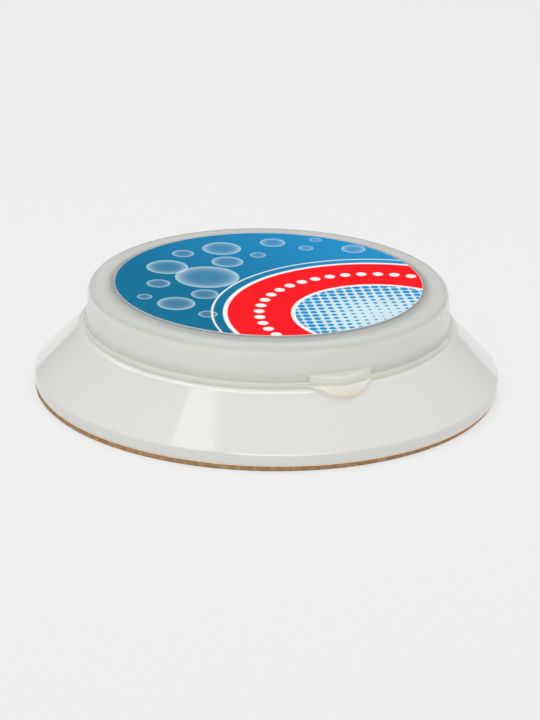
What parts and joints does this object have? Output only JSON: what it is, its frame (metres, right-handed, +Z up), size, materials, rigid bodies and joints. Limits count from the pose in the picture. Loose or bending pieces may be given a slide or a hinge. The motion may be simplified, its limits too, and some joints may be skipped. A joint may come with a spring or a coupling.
{
  "type": "finger moistener",
  "caption": "Low round desk pot for moistening fingertips: a white conical base with a shallow gel well, a frosted lid with a thumb tab and a printed label, and a cork pad.",
  "frame": {"origin": "middle of the cork pad's underside, on the surface that the object stands on", "axes": "+Z up through the lid, -Y towards the thumb tab"},
  "size_m": [0.0754, 0.0754, 0.0174],
  "materials": {
    "white_polystyrene": "injection-moulded white polystyrene, glossy",
    "moistening_gel": "soft pearly off-white glycerine gel, wet sheen",
    "frosted_polypropylene": "injection-moulded natural polypropylene, frosted and slightly see-through",
    "printed_film": "satin printed polypropylene film",
    "adhesive_tape": "cream double-sided tape",
    "cork": "fine granulated cork"
  },
  "bodies": {
    "base": {"base_shell": "white_polystyrene", "gel_cake": "moistening_gel", "pad_tape": "adhesive_tape", "cork_pad": "cork"},
    "lid": {"lid": "frosted_polypropylene", "lid_label": "printed_film"}
  },
  "joints": [
    {"name": "lid_lift", "type": "slide", "parent": "base", "child": "lid", "axis": [0, 0, 1], "range_m": [0, 0.03]}
  ]
}
